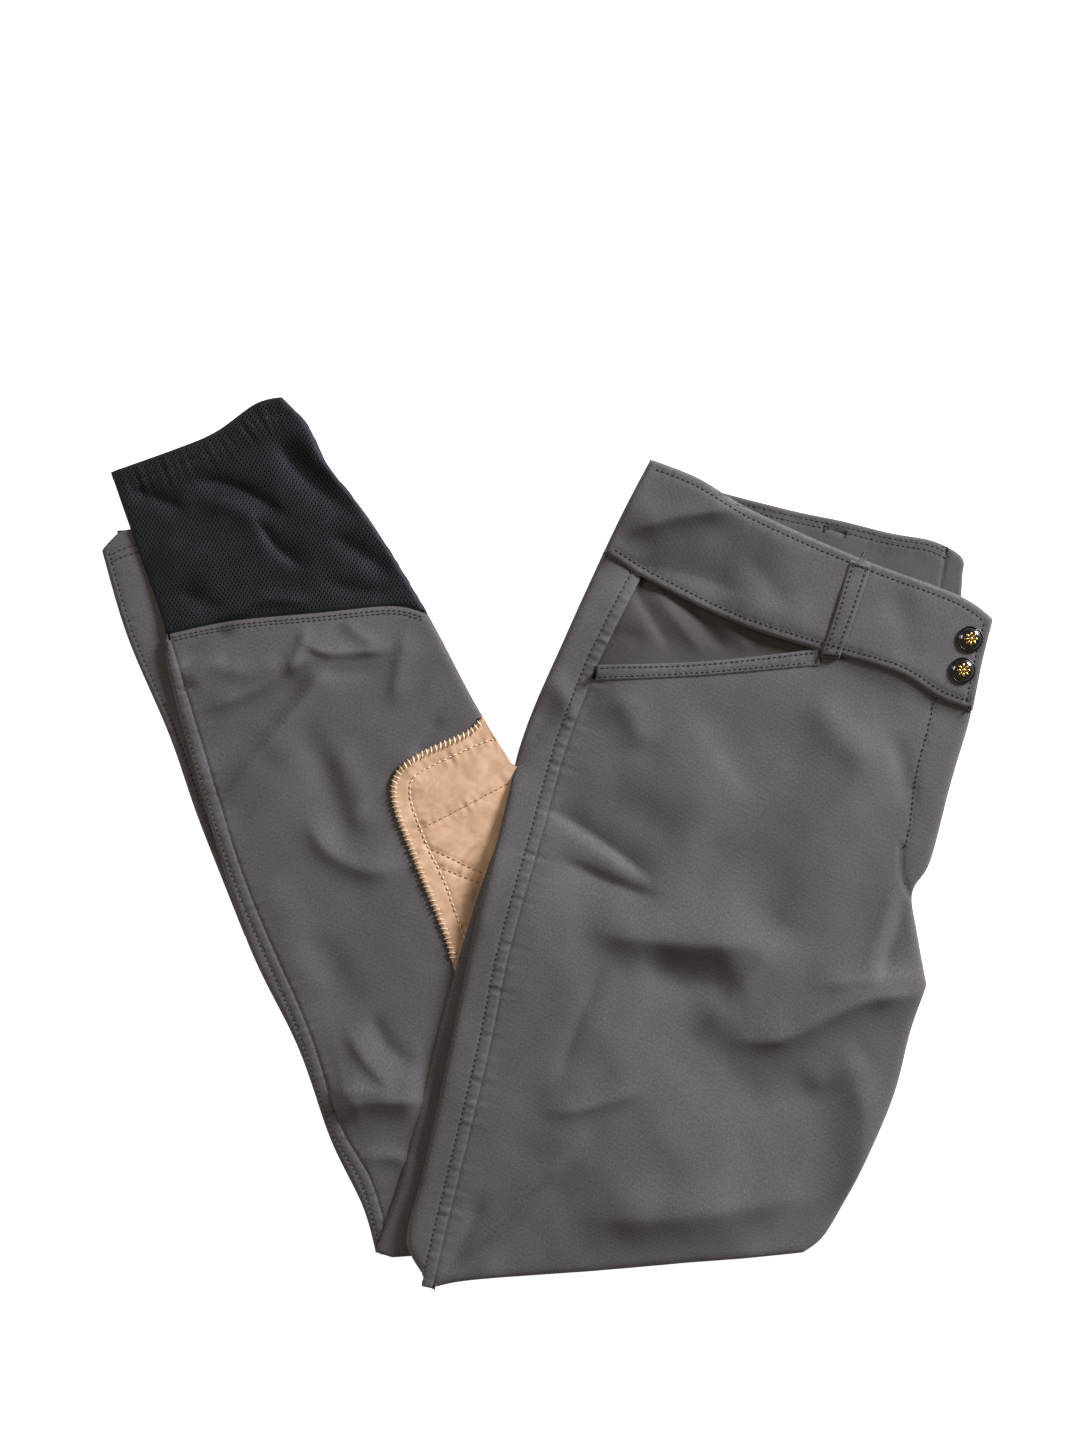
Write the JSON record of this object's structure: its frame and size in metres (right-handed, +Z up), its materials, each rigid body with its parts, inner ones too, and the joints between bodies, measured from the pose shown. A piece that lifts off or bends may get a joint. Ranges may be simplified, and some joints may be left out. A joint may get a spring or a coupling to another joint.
{
  "type": "riding breeches",
  "caption": "Riding breeches lying flat, folded in half with the lower legs turned under; mesh cuff, suede knee patch, snap waistband.",
  "frame": {"origin": "on the surface it lies on, under the middle of the folded garment's footprint", "axes": "+Z up, +Y from the knee fold towards the waist, +X from the lower legs towards the front edge"},
  "size_m": [0.5133, 0.5115, 0.0185],
  "materials": {
    "stretch_cloth": "matt woven stretch cloth, warm grey",
    "stretch_cloth_inside": "inner face of the same cloth, duller",
    "athletic_mesh": "knitted mesh with small staggered holes, blue black",
    "suede": "napped suede, tan",
    "lacquered_brass": "pressed cap, black gloss lacquer with a gilt motif"
  },
  "bodies": {
    "root": {"right_front": "stretch_cloth", "right_back": "stretch_cloth", "waistband_front": "stretch_cloth", "pocket_facing": "stretch_cloth", "pocket_welt": "stretch_cloth", "outseam_fell_thigh": "stretch_cloth", "belt_loop": "stretch_cloth", "hidden_thigh_layers": "stretch_cloth_inside", "left_front_lower": "stretch_cloth", "left_back_lower": "stretch_cloth", "left_cuff_mesh": "athletic_mesh", "hidden_leg_layers": "stretch_cloth_inside", "left_thigh_fold": "stretch_cloth", "knee_patch": "suede", "outseam_fell_leg": "stretch_cloth", "right_back_lower": "stretch_cloth", "right_front_lower": "stretch_cloth", "waistband_back_right": "stretch_cloth_inside", "waistband_back_left": "stretch_cloth_inside", "hidden_band_layers": "stretch_cloth_inside", "snap_upper": "lacquered_brass", "snap_lower": "lacquered_brass"}
  },
  "joints": []
}
